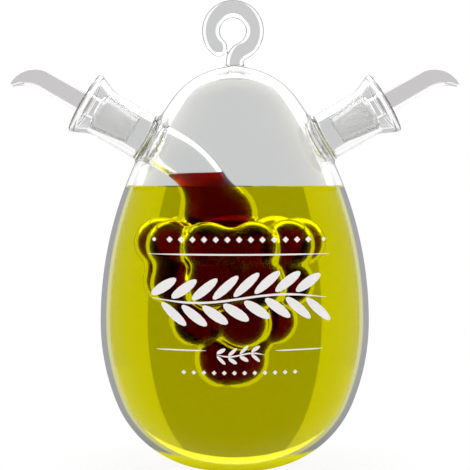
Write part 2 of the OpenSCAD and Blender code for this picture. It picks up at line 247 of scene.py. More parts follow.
def oil_room(p, gap=0.0):
    """The space round the grape vessel, less a gap all over."""
    d = smin(egg(p, VESSEL_WALL, FLOOR_WALL), neck(p, 1, BORE_R, ROOT_S), BORE_FILLET)
    return smax(d + gap, gap - grape_glass(p), OIL_FILLET)


def oil_fill(p):
    return oil_room(p, OIL_GAP)


def vinegar_room(p):
    """The space in the grape vessel."""
    d = smin(bunch(p) + GRAPE_WALL, throat(p, THROAT_R - THROAT_WALL), THROAT_BORE_FILLET)
    return smin(d, neck(p, -1, BORE_R, WALL_S), SEAL_BORE_FILLET)


def vinegar_fill(p):
    return vinegar_room(p) - WETTING


def gradient(field, p, e=0.03):
    """The field's slope at each point, from its values at the distance e before and behind it."""
    g = np.empty_like(p)
    for i in range(3):
        step = np.zeros(3)
        step[i] = e
        g[:, i] = (field(p + step) - field(p - step)) / (2 * e)
    return g


def skin(field, low, high):
    """Points and quads of the field's surface in a box, with one point in each cell that it crosses."""
    axes = [np.arange(a, b + CELL, CELL) for a, b in zip(low, high)]
    n = [len(a) for a in axes]
    grid = np.stack(np.meshgrid(*axes, indexing="ij"), axis=-1).reshape(-1, 3)
    f = np.empty(len(grid))
    for i in range(0, len(grid), CHUNK):
        f[i : i + CHUNK] = field(grid[i : i + CHUNK])
    f = f.reshape(n)
    inside = f < 0
    total = np.zeros([k - 1 for k in n] + [3])
    count = np.zeros([k - 1 for k in n])

    def cells(idx, axis, du, dv):
        """The cells du and dv back from edges along an axis, and which of them are in the grid."""
        c = idx.copy()
        c[:, [k for k in range(3) if k != axis]] -= (du, dv)
        return c, (c >= 0).all(1) & (c < np.array(n) - 1).all(1)

    crossings = []
    for axis in range(3):
        lo = [slice(None)] * 3
        hi = [slice(None)] * 3
        lo[axis], hi[axis] = slice(0, -1), slice(1, None)
        a, b = f[tuple(lo)], f[tuple(hi)]
        cut = inside[tuple(lo)] != inside[tuple(hi)]
        idx = np.argwhere(cut)
        pos = np.stack([axes[k][idx[:, k]] for k in range(3)], axis=1).astype(float)
        pos[:, axis] += a[cut] / (a[cut] - b[cut]) * CELL
        for du in (0, 1):
            for dv in (0, 1):
                c, ok = cells(idx, axis, du, dv)
                np.add.at(total, tuple(c[ok].T), pos[ok])
                np.add.at(count, tuple(c[ok].T), 1)
        crossings.append((axis, idx, inside[tuple(lo)][cut]))
    used = count > 0
    number = np.full(used.shape, -1)
    number[used] = np.arange(used.sum())
    points = total[used] / count[used][:, None]
    quads = []
    for axis, idx, solid in crossings:
        ring, fits = zip(*[cells(idx, axis, du, dv) for du, dv in ((0, 0), (1, 0), (1, 1), (0, 1))])
        ok = np.all(fits, axis=0)
        q = np.stack([number[tuple(c[ok].T)] for c in ring], axis=1)
        turn = solid[ok] if axis != 1 else ~solid[ok]
        q[~turn] = q[~turn][:, ::-1]
        quads.append(q)
    for _ in range(SETTLE_STEPS):
        g = gradient(field, points)
        step = field(points) / np.maximum((g * g).sum(1), LEAST_SLOPE)
        points = points - np.clip(step, -CELL, CELL)[:, None] * g
    return points, np.concatenate(quads)


def to_bmesh(points, faces):
    bm = bmesh.new()
    verts = [bm.verts.new(p) for p in points]
    for f in faces:
        try:
            bm.faces.new([verts[i] for i in f])
        except ValueError:
            pass
    return bm


def clipped(points, faces, planes, seam=None):
    """The faces inside planes, each a point and its outward normal, split where they cross a level."""
    bm = to_bmesh(points, faces)
    cuts = [(co, no, True) for co, no in planes]
    if seam is not None:
        cuts.insert(0, ((0, 0, seam), (0, 0, 1), False))
    for co, no, outer in cuts:
        geom = bm.verts[:] + bm.edges[:] + bm.faces[:]
        bmesh.ops.bisect_plane(bm, geom=geom, dist=CUT_REACH, plane_co=co, plane_no=no, clear_outer=outer)
    loose = [v for v in bm.verts if not v.link_faces]
    bmesh.ops.delete(bm, geom=loose, context="VERTS")
    bm.verts.ensure_lookup_table()
    bm.verts.index_update()
    points = np.array([v.co[:] for v in bm.verts])
    faces = [[v.index for v in f.verts] for f in bm.faces]
    bm.free()
    return points, faces


def neck_point(side, s, rho, angle):
    """A point at the distance rho from a neck's axis, at the angle round it."""
    u, v = rho * math.cos(angle), rho * math.sin(angle)
    x = s * COS_TILT - u * SIN_TILT
    z = NECK_CROSS_H + s * SIN_TILT + u * COS_TILT
    return np.array([side * x, v, z])


def loop_at(points, side):
    """Numbers of the points on a neck's cut, in the order of their angle, and the angles."""
    rho, s = on_neck(points, side)
    at = np.nonzero(np.abs(s - MOUTH_S) < LOOP_REACH)[0]
    x, z = side * points[at, 0], points[at, 2] - NECK_CROSS_H
    u = z * COS_TILT - x * SIN_TILT
    angle = np.arctan2(points[at, 1], u)
    order = np.argsort(angle)
    return at[order], angle[order]


# Steps round the flare's bend and the lip, and how far above a neck's cut the inner skin of its mouth ends
BEND_STEPS, LIP_STEPS, BORE_END = 5, 14, 0.4
# Rows of a mouth's faces at its lip, whose glass is tinted dark: painted shade
LIP_ROWS = range(14, 20)


def mouth_profile():
    """Section of a mouth over its lip to its bore, as (rho, s, normal's rho, normal's s)."""
    cx, cy = NECK_R + FLARE_BEND_R, FLARE_START
    co, si = math.cos(FLARE_ANGLE), math.sin(FLARE_ANGLE)

    def on_bend(radius, i, out):
        a = FLARE_ANGLE * i / BEND_STEPS
        return cx - radius * math.cos(a), cy + radius * math.sin(a), out * math.cos(a), -out * math.sin(a)

    def on_flare(x, y):
        return cx + x * co + y * si, cy + y * co - x * si

    rows = [on_bend(FLARE_BEND_R, i, 1) for i in range(BEND_STEPS + 1)]
    for i in (1, 2, 3):
        rows.append((*on_flare(-FLARE_BEND_R, FLARE_LEN * i / 4), co, -si))
    half = math.acos(NECK_WALL / 2 / LIP_R)
    for i in range(LIP_STEPS + 1):
        a = -half + (math.pi + 2 * half) * i / LIP_STEPS
        p = on_flare(-FLARE_BEND_R - NECK_WALL / 2 + LIP_R * math.cos(a), FLARE_LEN + LIP_R * math.sin(a))
        rows.append((*p, math.cos(a) * co + math.sin(a) * si, math.sin(a) * co - math.cos(a) * si))
    for i in (3, 2, 1):
        rows.append((*on_flare(-FLARE_OUT_R, FLARE_LEN * i / 4), -co, si))
    rows += [on_bend(FLARE_OUT_R, i, -1) for i in range(BEND_STEPS, -1, -1)]
    rows.append((BORE_R, MOUTH_S + BORE_END, -1.0, 0.0))
    return rows


class Shell:
    """Points with normals and faces, collected from several skins."""

    def __init__(self):
        self.points, self.normals, self.faces, self.owner = [], [], [], []

    def add(self, points, normals, faces, owner):
        base = len(self.points)
        self.points.extend(points)
        self.normals.extend(normals)
        self.faces.extend([[base + i for i in f] for f in faces])
        self.owner.extend(owner)
        return base


def unit(v):
    return v / np.maximum(np.linalg.norm(v, axis=1), 1e-9)[:, None]


def add_mouth(shell, side, outer, inner, owner):
    """Joins the skins outside a neck and in its bore, both as (numbers, angles), by the flared mouth."""
    rows = mouth_profile()
    ids, angles = outer
    count = len(ids)
    points, normals = [], []
    for rho, s, nr, ns in rows:
        for a in angles:
            points.append(neck_point(side, s, rho, a))
            normals.append(neck_point(side, ns, nr, a) - neck_point(side, 0, 0, a))
    base = len(shell.points)
    shell.points.extend(points)
    shell.normals.extend(normals)
    rings = [list(ids)] + [[base + k * count + i for i in range(count)] for k in range(len(rows))]
    for k, (a, b) in enumerate(zip(rings, rings[1:])):
        for i in range(count):
            j = (i + 1) % count
            f = [a[i], a[j], b[j], b[i]]
            shell.faces.append(f[::-1] if side > 0 else f)
            shell.owner.append(owner + (" lip" if k in LIP_ROWS else ""))
    # Zip the last ring to the bore's loop, which has other angles
    a_ids, a_ang = rings[-1], list(angles)
    b_ids, b_ang = list(inner[0]), list(inner[1])
    i = j = 0
    na, nb = len(a_ids), len(b_ids)
    while i < na or j < nb:
        next_a = a_ang[(i + 1) % na] + (2 * math.pi if i + 1 >= na else 0)
        next_b = b_ang[(j + 1) % nb] + (2 * math.pi if j + 1 >= nb else 0)
        if j >= nb or (i < na and next_a <= next_b):
            f = [a_ids[i % na], a_ids[(i + 1) % na], b_ids[j % nb]]
            i += 1
        else:
            f = [a_ids[i % na], b_ids[(j + 1) % nb], b_ids[j % nb]]
            j += 1
        shell.faces.append(f[::-1] if side > 0 else f)
        shell.owner.append(owner)


def piece(name, points, normals, faces, material, body, node, kinds=None):
    """A finished object from points in millimetres. It uses only the points that its faces need.

    With kinds, the material is a list and each face's kind is its place in it."""
    used = sorted({i for f in faces for i in f})
    place = {old: new for new, old in enumerate(used)}
    mesh = bpy.data.meshes.new(name)
    places = [tuple(np.asarray(points[i]) / 1000) for i in used]
    mesh.from_pydata(places, [], [[place[i] for i in f] for f in faces])
    for each in material if kinds else [material]:
        mesh.materials.append(each)
    for i, poly in enumerate(mesh.polygons):
        poly.use_smooth = True
        poly.material_index = kinds[i] if kinds else 0
    if normals is not None:
        mesh.normals_split_custom_set_from_vertices([tuple(normals[i]) for i in used])
    ob = bpy.data.objects.new(name, mesh)
    bpy.context.scene.collection.objects.link(ob)
    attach(ob, body)
    if node:
        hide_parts(*node)
    return ob


# Nodes
def put_in(tree, socket, value):
    """Links another node's output to a socket, or sets the socket's own value."""
    if isinstance(value, bpy.types.NodeSocket):
        tree.links.new(value, socket)
    else:
        socket.default_value = value


def math_node(tree, kind, *values):
    node = tree.nodes.new("ShaderNodeMath")
    node.operation = kind
    for socket, value in zip(node.inputs, values):
        put_in(tree, socket, value)
    return node.outputs[0]


def colour_mix(tree, factor, a, b):
    node = tree.nodes.new("ShaderNodeMix")
    node.data_type = "RGBA"
    for name, value in (("Factor", factor), ("A", a), ("B", b)):
        put_in(tree, node.inputs[name], value)
    return node.outputs["Result"]


def soft_step(tree, value, low, high, start=0.0, end=1.0):
    """From start to end while the value goes from low to high."""
    ramp = tree.nodes.new("ShaderNodeMapRange")
    ramp.interpolation_type = "SMOOTHSTEP"
    limits = {"From Min": low, "From Max": high, "To Min": start, "To Max": end}
    for name, given in {"Value": value, **limits}.items():
        put_in(tree, ramp.inputs[name], given)
    return ramp.outputs["Result"]


def height(tree):
    coord, axes = tree.nodes.new("ShaderNodeTexCoord"), tree.nodes.new("ShaderNodeSeparateXYZ")
    tree.links.new(coord.outputs["Object"], axes.inputs[0])
    return axes.outputs["Z"]


def shown_over(mat, factor, shader):
    """Shows a shader over the material's own one where the factor is 1."""
    tree = mat.node_tree
    join = tree.nodes.new("ShaderNodeMixShader")
    tree.links.new(factor, join.inputs["Fac"])
    tree.links.new(tree.nodes["Principled BSDF"].outputs[0], join.inputs[1])
    tree.links.new(shader.outputs[0], join.inputs[2])
    tree.links.new(join.outputs[0], tree.nodes["Material Output"].inputs["Surface"])


# Materials
def principled(name):
    mat = bpy.data.materials.new(name)
    mat.use_nodes = True
    return mat, mat.node_tree, mat.node_tree.nodes["Principled BSDF"]


def cloud_group():
    """Two colours mixed by a soft cloud in the object's own space."""
    group = bpy.data.node_groups.new("cloud", "ShaderNodeTree")
    face = group.interface
    for name, kind, value in (
        ("Scale", "NodeSocketFloat", 60.0),
        ("Dark", "NodeSocketColor", (0.9, 0.9, 0.9, 1)),
        ("Light", "NodeSocketColor", (1, 1, 1, 1)),
    ):
        face.new_socket(name, in_out="INPUT", socket_type=kind).default_value = value
    face.new_socket("Color", in_out="OUTPUT", socket_type="NodeSocketColor")
    nodes, links = group.nodes, group.links
    source, target = nodes.new("NodeGroupInput"), nodes.new("NodeGroupOutput")
    coord, noise = nodes.new("ShaderNodeTexCoord"), nodes.new("ShaderNodeTexNoise")
    links.new(coord.outputs["Object"], noise.inputs["Vector"])
    links.new(source.outputs["Scale"], noise.inputs["Scale"])
    noise.inputs["Detail"].default_value = 2.0
    mixed = colour_mix(group, noise.outputs["Fac"], source.outputs["Dark"], source.outputs["Light"])
    links.new(mixed, target.inputs["Color"])
    return group


CLOUD = cloud_group()


def clouded(tree, socket, tint, spread, scale=60.0):
    """Links a cloud of the tint, from a bit darker to a bit lighter, to a colour socket."""
    node = tree.nodes.new("ShaderNodeGroup")
    node.node_tree = CLOUD
    node.inputs["Scale"].default_value = scale
    node.inputs["Dark"].default_value = (*[c * (1 - spread) for c in tint], 1)
    node.inputs["Light"].default_value = (*[min(1, c * (1 + spread)) for c in tint], 1)
    tree.links.new(node.outputs["Color"], socket)


def glass(name, tint, ior, roughness=0.0, spread=0.012):
    """Glass or a liquid. Its black specular tint keeps white reflections off its front."""
    mat, tree, bsdf = principled(name)
    clouded(tree, bsdf.inputs["Base Color"], tint, spread)
    bsdf.inputs["Roughness"].default_value = roughness
    bsdf.inputs["IOR"].default_value = ior
    bsdf.inputs["Transmission Weight"].default_value = 1.0
    bsdf.inputs["Specular Tint"].default_value = (0.0, 0.0, 0.0, 1)
    return mat


def paint_edge_light_and_shade(mat, at, colour):
    """Over the glass, a dull colour painted where its outside turns away by more than at, with 1 as edge on.
    It stands in for the shade and light that the glass's edge shows.
    """
    tree = mat.node_tree
    line = tree.nodes.new("ShaderNodeBsdfPrincipled")
    put_in(tree, line.inputs["Base Color"], colour)
    line.inputs["Roughness"].default_value = 1.0
    line.inputs["Specular IOR Level"].default_value = 0.0
    facing = tree.nodes.new("ShaderNodeLayerWeight").outputs["Facing"]
    turned = soft_step(tree, facing, at - LINE_SOFT, at + LINE_SOFT)
    outward = math_node(tree, "SUBTRACT", 1.0, tree.nodes.new("ShaderNodeNewGeometry").outputs["Backfacing"])
    shown_over(mat, math_node(tree, "MULTIPLY", turned, outward), line)


def wet_glass():
    """Glass with oil behind it: clear in front, and at its edge painted shade in grey, painted light in pale
    yellow, and a painted yellow light at the foot.
    """
    mat = glass("glass_on_oil", (0.99, 0.99, 0.99), 1.01)
    tree = mat.node_tree
    facing = tree.nodes.new("ShaderNodeLayerWeight").outputs["Facing"]
    inner = soft_step(tree, facing, EDGE_AT - EDGE_SOFT, EDGE_AT + EDGE_SOFT)
    painted_edge = colour_mix(tree, inner, EDGE_PAINTED_LIGHT, EDGE_PAINTED_SHADE)
    painted_edge_and_foot = colour_mix(tree, soft_step(tree, height(tree), *EDGE_FOOT_H), EDGE_FOOT_PAINTED_LIGHT, painted_edge)
    paint_edge_light_and_shade(mat, PALE_AT, painted_edge_and_foot)
    return mat


def paint_foot_light(mat):
    """Paints light into the oil: a brighter yellow at its foot."""
    tree = mat.node_tree
    socket = tree.nodes["Principled BSDF"].inputs["Base Color"]
    low = soft_step(tree, height(tree), *OIL_FOOT_H, 1.0, 0.0)
    tree.links.new(colour_mix(tree, low, socket.links[0].from_socket, OIL_FOOT_PAINTED_LIGHT), socket)


def print_paint():
    mat, tree, bsdf = principled("off_white_print")
    clouded(tree, bsdf.inputs["Base Color"], (0.83, 0.81, 0.8), 0.03, 900.0)
    bsdf.inputs["Roughness"].default_value = 0.55
    return mat


# Half the width of a soft step, for a painted outline of shade and inside the painted edge of the wall
LINE_SOFT, EDGE_SOFT = 0.02, 0.015
# Painted edge of the wall in front of the oil: how far it turns away where the grey painted shade and the
# pale painted light start, their colours, and the painted yellow light at the foot with the heights in metres
# over which it ends
EDGE_AT, PALE_AT = 0.715, 0.635
EDGE_PAINTED_SHADE, EDGE_PAINTED_LIGHT, EDGE_FOOT_PAINTED_LIGHT = (0.37, 0.375, 0.39, 1), (0.68, 0.665, 0.32, 1), (1.0, 0.97, 0.02, 1)
EDGE_FOOT_H = (0.0075, 0.0092)
# Painted light in the oil at the foot, a bright yellow, and the heights in metres over which it ends
OIL_FOOT_PAINTED_LIGHT, OIL_FOOT_H = (1.0, 0.98, 0.0, 1), (0.0024, 0.0035)

CLEAR = glass("clear_glass", (0.985, 0.99, 0.99), 1.47)
WET = wet_glass()
LINING = glass("lining_glass", (0.99, 0.99, 0.99), 1.01)
# Glass tinted dark at the mouths' lips: painted shade
LIP_SHADE = glass("lip_painted_shade", (0.13, 0.13, 0.13), 1.3)
# Near-black glass for the beads at the joints: painted shade
SEAM_SHADE = glass("seam_painted_shade", (0.05, 0.05, 0.048), 1.1, 0.0, 0.2)
SPOUT = glass("spout_glass", (0.985, 0.975, 0.975), 1.1)
FROST = glass("ground_glass", (0.93, 0.925, 0.925), 1.2, 0.4, 0.05)
FROST.node_tree.nodes["Principled BSDF"].inputs["Transmission Weight"].default_value = 0.5
HOOK = glass("hook_glass", (0.985, 0.99, 0.99), 1.16)
RIM = glass("outer_glass", (0.985, 0.99, 0.99), 1.47)
# Grey outlines painted at the edges of the hook, the outer glass and the spout: painted shade
for mat, at, grey in ((HOOK, 0.64, 0.3), (RIM, 0.87, 0.5), (SPOUT, 0.7, 0.72)):
    paint_edge_light_and_shade(mat, at, (grey, grey, grey, 1))
OIL = glass("oil", (0.57, 0.53, 0.0), 1.15)
VINEGAR = glass("vinegar", (0.22, 0.0015, 0.0), 1.3, 0.0, 0.1)
paint_foot_light(OIL)
PRINT = print_paint()


# What a face's kind says about its glass, in the order of the piece's materials
KINDS = ("", "wet", "lining", "lip", "rim")


def build_glass():
    """The vessel's glass as one closed skin, cut into the pieces that it was blown or drawn from."""
    shell = Shell()
    cuts = {}
    for side in (1, -1):
        no = Vector((side * COS_TILT, 0, SIN_TILT))
        co = Vector((0, 0, NECK_CROSS_H)) + no * MOUTH_S
        cuts[side] = (co, no)

    def put(field, box, planes, sign, owner_of):
        points, faces = skin(field, *box)
        points, faces = clipped(points, faces, planes, OIL_LEVEL)
        normals = unit(gradient(field, points)) * sign
        f = faces if sign > 0 else [q[::-1] for q in faces]
        centres = np.array([points[q].mean(0) for q in faces])
        return points, shell.add(list(points), list(normals), f, owner_of(centres))

    def outer_owner(c):
        e = egg(c, 0, 0)
        rho, s = on_neck(c, -1)
        names = np.full(len(c), "outer_vessel", dtype=object)
        names[(hook(c) < e) & (c[:, 2] > HOOK_FROM_H)] = "hanging_hook"
        names[(rho - NECK_R < e) & (s > OWN_S)] = "vinegar_neck"
        rho, s = on_neck(c, 1)
        names[(rho - NECK_R < e) & (s > OWN_S)] = "oil_neck"
        names[(names == "outer_vessel") & (c[:, 2] < OIL_LEVEL)] = "outer_vessel wet"
        return [name if " " in name else name + " rim" for name in names]

    def room_owner(c):
        e = np.minimum(egg(c, VESSEL_WALL, FLOOR_WALL), neck(c, 1, BORE_R, ROOT_S))
        names = np.where(np.abs(grape_glass(c)) < np.abs(e), "grape_vessel", "outer_vessel")
        names = np.where((names == "outer_vessel") & (c[:, 2] < OIL_LEVEL), "outer_vessel lining", names)
        return list(np.where(egg(c, 0, 0) > 0, "oil_neck", names))

    def bunch_owner(c):
        names = np.where(egg(c, VESSEL_WALL, FLOOR_WALL) > 0, "outer_vessel", "grape_vessel")
        return list(np.where(egg(c, 0, 0) > 0, "vinegar_neck", names))

    out_pts, out_base = put(outside, OUT_BOX, [cuts[1], cuts[-1]], 1, outer_owner)
    room_pts, room_base = put(oil_room, ROOM_BOX, [cuts[1]], -1, room_owner)
    vin_pts, vin_base = put(vinegar_room, THROAT_BOX, [cuts[-1]], -1, bunch_owner)

    def shifted(points, side, base):
        ids, angles = loop_at(points, side)
        return ids + base, angles

    add_mouth(shell, 1, shifted(out_pts, 1, out_base), shifted(room_pts, 1, room_base), "oil_neck")
    add_mouth(shell, -1, shifted(out_pts, -1, out_base), shifted(vin_pts, -1, vin_base), "vinegar_neck")
    for name in ("outer_vessel", "oil_neck", "vinegar_neck", "grape_vessel", "hanging_hook"):
        mine = [k for k, o in enumerate(shell.owner) if o.split()[0] == name]
        faces = [shell.faces[k] for k in mine]
        kinds = [KINDS.index(shell.owner[k][len(name) :].strip()) for k in mine]
        materials = [CLEAR, WET, LINING, LIP_SHADE, HOOK if name == "hanging_hook" else RIM]
        piece(name + "_glass", shell.points, shell.normals, faces, materials, "vessel", [name], kinds)
        print(name, len(faces))


def build_fill(name, inner, level, box, material, node):
    """A liquid up to its level, with a flat surface."""
    points, faces = skin(inner, *box)
    points, faces = clipped(points, faces, [(Vector((0, 0, level)), Vector((0, 0, 1)))])
    normals = unit(gradient(inner, points))
    bm = to_bmesh(points, faces)
    edges = [e for e in bm.edges if e.is_boundary and all(abs(v.co.z - level) < CAP_REACH for v in e.verts)]
    rim = bmesh.ops.duplicate(bm, geom=edges)["geom"]
    loop = [g for g in rim if isinstance(g, bmesh.types.BMEdge)]
    cap = bmesh.ops.triangle_fill(bm, use_beauty=True, use_dissolve=False, edges=loop)
    bm.verts.index_update()
    flat = [g for g in cap["geom"] if isinstance(g, bmesh.types.BMFace)]
    tops = {v.index for g in flat for v in g.verts}
    for g in flat:
        if g.normal.z < 0:
            g.normal_flip()
    pts = np.array([v.co[:] for v in bm.verts])
    out = np.zeros_like(pts)
    out[: len(normals)] = normals
    for i in tops:
        out[i] = (0, 0, 1)
    fs = [[v.index for v in f.verts] for f in bm.faces]
    bm.free()
    piece(name, pts, out, fs, material, "vessel", [node])
    print(name, len(fs))


def closed_in(inside, near, far):
    """Brings near and far together, by halves, where inside, which takes such values, turns false."""
    for _ in range(HALVINGS):
        mid = (near + far) / 2
        within = inside(mid)
        near, far = np.where(within, mid, near), np.where(within, far, mid)
    return near, far


# Places round a seam and round its bead, and the stretch of a neck in which it crosses the wall
SEAM_STEPS, BEAD_STEPS, SEAM_FROM, SEAM_TO = 96, 8, 20.0, 60.0


def build_seam(name, side, rho, depth, floor, thick):
    """Painted shade at a joint: a dark bead round a neck, where it crosses the egg's wall at a depth."""
    n, sides = SEAM_STEPS, BEAD_STEPS
    angles = [2 * math.pi * i / n for i in range(n)]

    def inside(s):
        return egg(np.array([neck_point(side, m, rho, a) for m, a in zip(s, angles)]), depth, floor) < 0

    near = closed_in(inside, np.full(n, SEAM_FROM), np.full(n, SEAM_TO))[0]
    middle = np.array([neck_point(side, m, rho, a) for m, a in zip(near, angles)])
    along = unit(np.roll(middle, -1, axis=0) - np.roll(middle, 1, axis=0))
    out = unit(np.array([neck_point(side, 0, 1, a) - neck_point(side, 0, 0, a) for a in angles]))
    out = unit(out - along * (out * along).sum(1)[:, None])
    third = np.cross(along, out)
    points, normals, faces = [], [], []
    for i in range(n):
        for k in range(sides):
            a = 2 * math.pi * k / sides
            normal = out[i] * math.cos(a) + third[i] * math.sin(a)
            normals.append(normal)
            points.append(middle[i] + normal * thick)
    for i in range(n):
        for k in range(sides):
            a, b = i * sides, (i + 1) % n * sides
            faces.append([a + k, b + k, b + (k + 1) % sides, a + (k + 1) % sides])
    p = np.array(points)
    a, b, c = (p[faces[0][i]] for i in range(3))
    if np.dot(np.cross(b - a, c - a), normals[faces[0][0]]) < 0:
        faces = [f[::-1] for f in faces]
    piece(name, points, normals, faces, SEAM_SHADE, "vessel", [])


def taper(wide, narrow, u):
    return narrow + (wide - narrow) * (1 - u**TAPER_POWER)


def stopper_rings():
    """Rings round the stopper's wall as (along the axis, radius, angle of the bend)."""
    seat_r = BORE_R + FLARE_OUT_R * (1 - math.cos(PLUG_ANGLE))
    seat_s = FLARE_START + FLARE_OUT_R * math.sin(PLUG_ANGLE)

    def plug_r(s):
        """Radius of the ground cone."""
        return seat_r + (s - seat_s) * math.tan(PLUG_ANGLE) - SEAT_GAP / math.cos(PLUG_ANGLE)

    rings = []
    # Rounding of the plug's lower edge
    edge = 0.5
    r0 = plug_r(PLUG_START)
    for i in range(5):
        a = math.pi / 2 * (1 - i / 4)
        rings.append((PLUG_START + edge - edge * math.sin(a), r0 - edge + edge * math.cos(a), None))
    for i in range(1, 9):
        s = PLUG_START + edge + (PLUG_END - SHOULDER_R - PLUG_START - edge) * i / 9
        rings.append((s, plug_r(s), None))
    cs = PLUG_END - SHOULDER_R
    cr = plug_r(cs) - SHOULDER_R / math.cos(PLUG_ANGLE)
    for i in range(9):
        a = -PLUG_ANGLE + (math.pi / 2 + PLUG_ANGLE) * i / 8
        rings.append((cs + SHOULDER_R * math.sin(a), cr + SHOULDER_R * math.cos(a), None))
    # Collar and the straight part of the spout
    collar_end = PLUG_END + COLLAR_FILLET
    for i in range(7):
        a = math.pi / 2 * i / 6
        s, r = PLUG_END + COLLAR_FILLET * (1 - math.cos(a)), SPOUT_R + COLLAR_FILLET * (1 - math.sin(a))
        rings.append((s, r, None))
    for i in range(1, 8):
        rings.append((collar_end + (SPOUT_BEND_START - PLUG_END - COLLAR_FILLET) * i / 8, SPOUT_R, None))
    # The bent part, the tip and the bore back to the plug
    steps = 28
    for i in range(steps + 1):
        rings.append((0, taper(SPOUT_R, TIP_R, i / steps), SPOUT_SWEEP * i / steps))
    mid, half = (TIP_R + TIP_BORE_R) / 2, (TIP_R - TIP_BORE_R) / 2
    for i in range(1, 6):
        a = math.pi * i / 6
        rings.append((0, mid + half * math.cos(a), SPOUT_SWEEP + half * math.sin(a) / SPOUT_BEND_R))
    bore = SPOUT_R - SPOUT_WALL
    for i in range(steps, -1, -1):
        rings.append((0, taper(bore, TIP_BORE_R, i / steps), SPOUT_SWEEP * i / steps))
    for i in range(7, 0, -1):
        rings.append((PLUG_END + (SPOUT_BEND_START - PLUG_END) * i / 8, bore, None))
    cone_end = PLUG_END - PLUG_WALL - SHOULDER_R
    wide = plug_r(cone_end) - PLUG_WALL
    top = PLUG_END - PLUG_WALL
    # Inner shoulder, as two tangent quarter turns
    turn = 0.8
    for i in range(1, 6):
        a = math.pi / 2 * i / 5
        rings.append((top + turn - turn * math.sin(a), bore + turn * (1 - math.cos(a)), None))
    for i in range(1, 8):
        a = math.pi / 2 * i / 7
        s = cone_end + (top - cone_end) * math.cos(a)
        rings.append((s, bore + turn + (wide - bore - turn) * math.sin(a), None))
    for i in range(1, 9):
        s = cone_end + (PLUG_START + edge - cone_end) * i / 9
        rings.append((s, plug_r(s) - PLUG_WALL, None))
    r1 = plug_r(PLUG_START) - PLUG_WALL
    for i in range(5):
        a = math.pi / 2 * i / 4
        rings.append((PLUG_START + edge - edge * math.sin(a), r1 + edge - edge * math.cos(a), None))
    return rings


# Places round a stopper, and its rings that have the ground glass
ROUND_STEPS, FROSTED = 64, range(1, 17)


def build_stopper(side, name, body):
    rings = stopper_rings()
    n = ROUND_STEPS
    points = []
    for s, r, bend in rings:
        for i in range(n):
            t = 2 * math.pi * i / n
            # Along the neck: w; across it: u, which is up, and v, which is along Y
            if bend is None:
                w, u, v = s, -r * math.cos(t), r * math.sin(t)
            else:
                arm = SPOUT_BEND_R - r * math.cos(t)
                u = -(SPOUT_BEND_R - arm * math.cos(bend))
                w = SPOUT_BEND_START + arm * math.sin(bend)
                v = r * math.sin(t)
            x = w * COS_TILT - u * SIN_TILT
            z = NECK_CROSS_H + w * SIN_TILT + u * COS_TILT
            points.append((side * x, v, z))
    faces = []
    kinds = []
    m = len(rings)
    for k in range(m):
        kinds += [int(k in FROSTED)] * n
        for i in range(n):
            a, b, j = k * n, (k + 1) % m * n, (i + 1) % n
            f = [a + i, b + i, b + j, a + j]
            faces.append(f if side > 0 else f[::-1])
    piece(name + "_glass", points, None, faces, [SPOUT, FROST], body, [name], kinds)


def marks_group():
    """A row of flat marks: Count discs with so many Sides, Step apart from Start, stretched and turned."""
    group = bpy.data.node_groups.new("row_of_marks", "GeometryNodeTree")
    face = group.interface
    for name, kind, value in (
        ("Geometry", "NodeSocketGeometry", None),
        ("Count", "NodeSocketInt", 5),
        ("Start", "NodeSocketVector", (0, 0, 0)),
        ("Step", "NodeSocketVector", (1, 0, 0)),
        ("Sides", "NodeSocketInt", 12),
        ("Stretch", "NodeSocketVector", (1, 1, 1)),
        ("Turn", "NodeSocketVector", (0, 0, 0)),
        ("Material", "NodeSocketMaterial", None),
    ):
        socket = face.new_socket(name, in_out="INPUT", socket_type=kind)
        if value is not None:
            socket.default_value = value
    face.new_socket("Geometry", in_out="OUTPUT", socket_type="NodeSocketGeometry")
    nodes, links = group.nodes, group.links
    source, target = nodes.new("NodeGroupInput"), nodes.new("NodeGroupOutput")
    line, disc = nodes.new("GeometryNodeMeshLine"), nodes.new("GeometryNodeMeshCircle")
    disc.fill_type = "TRIANGLE_FAN"
    disc.inputs["Radius"].default_value = 1.0
    links.new(source.outputs["Sides"], disc.inputs["Vertices"])
    links.new(source.outputs["Count"], line.inputs["Count"])
    links.new(source.outputs["Start"], line.inputs["Start Location"])
    links.new(source.outputs["Step"], line.inputs["Offset"])
    place = nodes.new("GeometryNodeInstanceOnPoints")
    links.new(line.outputs["Mesh"], place.inputs["Points"])
    links.new(disc.outputs["Mesh"], place.inputs["Instance"])
    links.new(source.outputs["Turn"], place.inputs["Rotation"])
    links.new(source.outputs["Stretch"], place.inputs["Scale"])
    real, paint = nodes.new("GeometryNodeRealizeInstances"), nodes.new("GeometryNodeSetMaterial")
    links.new(place.outputs["Instances"], real.inputs["Geometry"])
    links.new(real.outputs["Geometry"], paint.inputs["Geometry"])
    links.new(source.outputs["Material"], paint.inputs["Material"])
    links.new(paint.outputs["Geometry"], target.inputs["Geometry"])
    return group


def marks(group, **values):
    """Points and faces of one row of marks, in millimetres across and up."""
    mesh = bpy.data.meshes.new("row")
    ob = bpy.data.objects.new("row", mesh)
    bpy.context.scene.collection.objects.link(ob)
    mod = ob.modifiers.new("row", "NODES")
    mod.node_group = group
    ids = {item.name: item.identifier for item in group.interface.items_tree if item.in_out == "INPUT"}
    for name, value in values.items():
        mod[ids[name]] = value
    mod[ids["Material"]] = PRINT
    ready = ob.evaluated_get(bpy.context.evaluated_depsgraph_get())
    made = bpy.data.meshes.new_from_object(ready)
    points = [tuple(v.co) for v in made.vertices]
    faces = [list(p.vertices) for p in made.polygons]
    bpy.data.objects.remove(ob)
    bpy.data.meshes.remove(made)
    return points, faces


def on_egg(x, z):
    """The y of the egg's front, a little outside of it, at each x and z."""

    def inside(y):
        return egg(np.stack([x, y, z], axis=1), 0, 0) < PRINT_LIFT

    return closed_in(inside, np.zeros(len(x)), np.full(len(x), IN_FRONT))[1]


